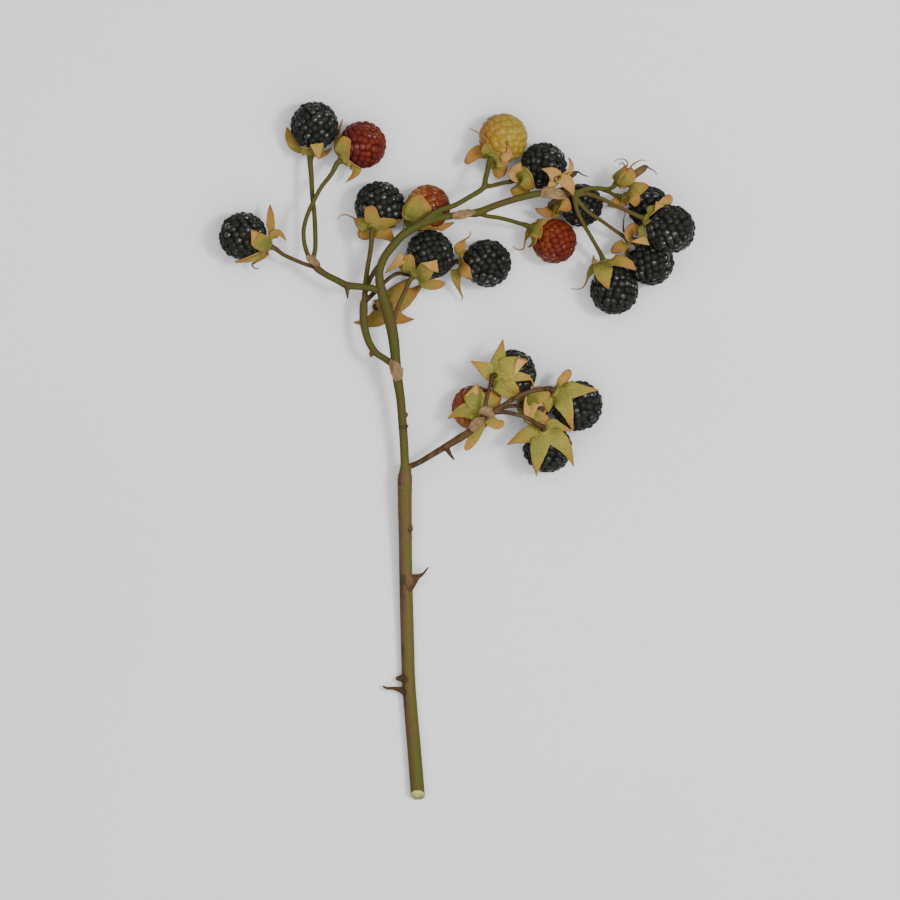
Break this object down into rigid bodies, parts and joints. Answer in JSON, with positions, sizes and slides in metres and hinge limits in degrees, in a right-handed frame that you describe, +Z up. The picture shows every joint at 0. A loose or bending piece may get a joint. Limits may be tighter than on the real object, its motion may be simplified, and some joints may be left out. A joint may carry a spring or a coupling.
{
  "type": "bramble sprig",
  "caption": "Cut bramble sprig lying on a surface: a prickly green and brown cane with side sprays, leafy calyces, papery bracts and ripe and unripe berries.",
  "frame": {"origin": "bottom centre of the sprig's box, on the surface that it lies on", "axes": "+Z up from that surface, +Y along the sprig from the cut end of the cane towards the berries, +X towards the right end of the arched branch"},
  "size_m": [0.1706, 0.2496, 0.0289],
  "materials": {
    "stems": "smooth green to brown bark, slightly waxy",
    "sepals": "matt, finely downy, olive with orange tips and tan inner faces",
    "bracts": "dry and papery",
    "berry_black": "glossy, almost black drupelets",
    "berry_red": "glossy red drupelets",
    "berry_turning": "glossy drupelets that turn from orange to red",
    "berry_yellow": "satin yellow drupelets"
  },
  "bodies": {
    "root": {"berry_01": "berry_black", "berry_02": "berry_red", "berry_03": "berry_black", "berry_04": "berry_black", "berry_05": "berry_turning", "berry_06": "berry_black", "berry_07": "berry_black", "berry_09": "berry_yellow", "berry_10": "berry_black", "berry_11": "berry_black", "berry_12": "berry_red", "berry_13": "berry_black", "berry_14": "berry_black", "berry_15": "berry_black", "berry_16": "berry_black", "berry_19": "berry_black", "berry_20": "berry_turning", "berry_21": "berry_black", "berry_22": "berry_black", "berry_23": "berry_black", "bract_arch": "bracts", "bract_cane": "bracts", "bract_left": "bracts", "bract_lower": "bracts", "bract_right": "bracts", "bract_tip": "bracts", "calyx_01": "sepals", "calyx_02": "sepals", "calyx_03": "sepals", "calyx_04": "sepals", "calyx_05": "sepals", "calyx_06": "sepals", "calyx_07": "sepals", "calyx_08": "sepals", "calyx_09": "sepals", "calyx_10": "sepals", "calyx_11": "sepals", "calyx_12": "sepals", "calyx_13": "sepals", "calyx_14": "sepals", "calyx_15": "sepals", "calyx_16": "sepals", "calyx_17": "sepals", "calyx_18": "sepals", "calyx_19": "sepals", "calyx_20": "sepals", "calyx_21": "sepals", "calyx_22": "sepals", "calyx_23": "sepals", "cane": "stems", "spray_left": "stems", "spray_lower": "stems", "spray_right": "stems", "spray_second": "stems"}
  },
  "joints": []
}
